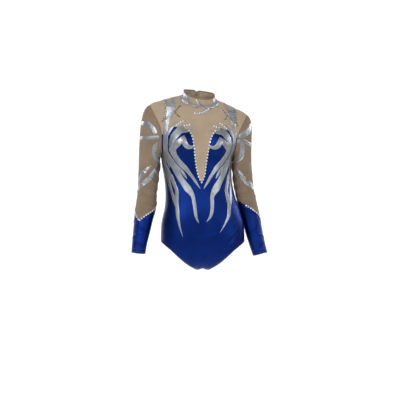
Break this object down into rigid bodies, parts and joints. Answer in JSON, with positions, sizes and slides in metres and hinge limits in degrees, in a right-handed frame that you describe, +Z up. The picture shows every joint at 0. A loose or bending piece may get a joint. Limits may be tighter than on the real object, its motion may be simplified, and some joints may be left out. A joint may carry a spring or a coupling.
{
  "type": "gymnastics leotard",
  "caption": "Long-sleeved competition leotard with a foil body, nude mesh yoke and sleeves, silver flame appliques, stones, high-cut legs and a back zip.",
  "frame": {"origin": "middle of the neck opening at the top edge of the collar", "axes": "+Z up the worn garment, the wearer faces -Y, the wearer's left is +X"},
  "size_m": [0.5044, 0.2487, 0.6811],
  "materials": {
    "blue_foil_spandex": "metallic foil stretch knit, deep royal blue",
    "blue_stitched_elastic": "matt stretch binding and covering stitch",
    "nude_mesh": "fine matt power mesh, pale nude",
    "sleeve_mesh": "fine matt power mesh, darker nude",
    "silver_foil": "metallic silver foil on cloth",
    "crystal": "faceted foil-backed flat-back stone",
    "lining_cloth": "brushed nude lining",
    "zip_tape_cloth": "woven herringbone tape",
    "zip_coil_nylon": "nylon coil",
    "zip_metal": "plated zinc and steel wire",
    "label_cloth": "satin woven ribbon, blank"
  },
  "bodies": {
    "garment": {"front_body_panel": "blue_foil_spandex", "back_body_panel": "blue_foil_spandex", "front_yoke_mesh": "nude_mesh", "back_yoke_left": "nude_mesh", "back_yoke_right": "nude_mesh", "collar_band": "nude_mesh", "collar_binding": "sleeve_mesh", "left_sleeve": "sleeve_mesh", "right_sleeve": "sleeve_mesh", "left_cuff": "blue_foil_spandex", "right_cuff": "blue_foil_spandex", "front_lining": "lining_cloth", "crotch_gusset": "lining_cloth", "left_leg_elastic": "blue_stitched_elastic", "right_leg_elastic": "blue_stitched_elastic", "left_wrist_hem": "blue_foil_spandex", "right_wrist_hem": "blue_foil_spandex", "left_side_seam": "blue_stitched_elastic", "right_side_seam": "blue_stitched_elastic", "left_armhole_seam": "sleeve_mesh", "right_armhole_seam": "sleeve_mesh", "left_bust_swirl": "silver_foil", "right_bust_swirl": "silver_foil", "left_flank_flames": "silver_foil", "right_flank_flames": "silver_foil", "left_shoulder_flame": "silver_foil", "right_shoulder_flame": "silver_foil", "left_collar_fan": "silver_foil", "right_collar_fan": "silver_foil", "left_sleeve_bands": "silver_foil", "right_sleeve_bands": "silver_foil", "left_sleeve_leaves": "silver_foil", "right_sleeve_leaves": "silver_foil", "neckline_stones": "crystal", "left_cuff_stones": "crystal", "right_cuff_stones": "crystal", "left_shoulder_stones": "crystal", "right_shoulder_stones": "crystal", "left_bust_stones": "crystal", "right_bust_stones": "crystal", "collar_stones": "crystal", "zip_tape_left": "zip_tape_cloth", "zip_tape_right": "zip_tape_cloth", "zip_coil_left": "zip_coil_nylon", "zip_coil_right": "zip_coil_nylon", "zip_top_stops": "zip_metal", "zip_bottom_stop": "zip_metal", "collar_hook": "zip_metal", "collar_eye": "zip_metal", "care_label": "label_cloth"},
    "zip_slider": {"zip_slider": "zip_metal", "zip_pull_pin": "zip_metal"},
    "zip_pull": {"zip_pull": "zip_metal"}
  },
  "joints": [
    {"name": "zip_slide", "type": "slide", "parent": "garment", "child": "zip_slider", "axis": [-0.0933, 0.2242, -0.9701], "range_m": [0, 0.145]},
    {"name": "zip_pull_hinge", "type": "hinge", "parent": "zip_slider", "child": "zip_pull", "pos_m": [-0.01164, 0.06222, 0.00039], "axis": [0.9798, 0.1939, -0.0495], "range_deg": [0, 160]}
  ]
}
